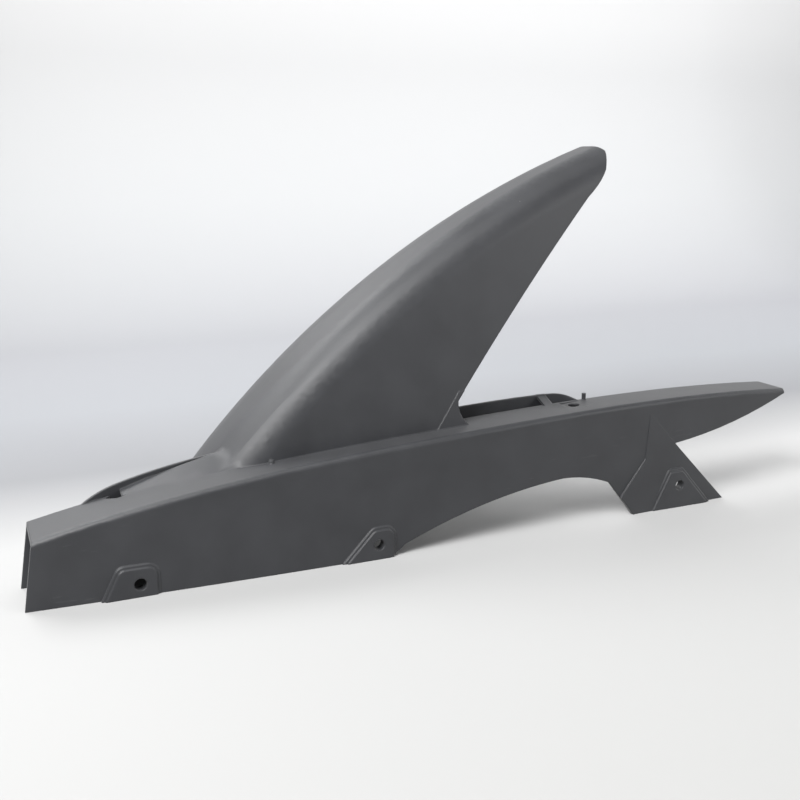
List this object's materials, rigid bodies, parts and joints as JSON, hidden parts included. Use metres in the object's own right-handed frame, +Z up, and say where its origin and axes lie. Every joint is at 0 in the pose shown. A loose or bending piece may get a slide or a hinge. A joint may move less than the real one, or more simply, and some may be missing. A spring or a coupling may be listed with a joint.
{
  "type": "motorcycle chain guard",
  "caption": "Moulded motorcycle chain guard: a long cover over the chain with a curved wheel hugger rising from its top, a rear mounting leg and stepped pads around bolt holes.",
  "frame": {"origin": "centre of the middle bolt hole, on the outside of its pad", "axes": "+X rearward along the guard to its tail, +Y inboard from the outer wall towards the wheel, +Z up as it stands"},
  "size_m": [0.663, 0.1589, 0.3084],
  "materials": {
    "black_plastic": "fine moulded grain"
  },
  "bodies": {
    "root": {"chain_guard": "black_plastic"}
  },
  "joints": []
}
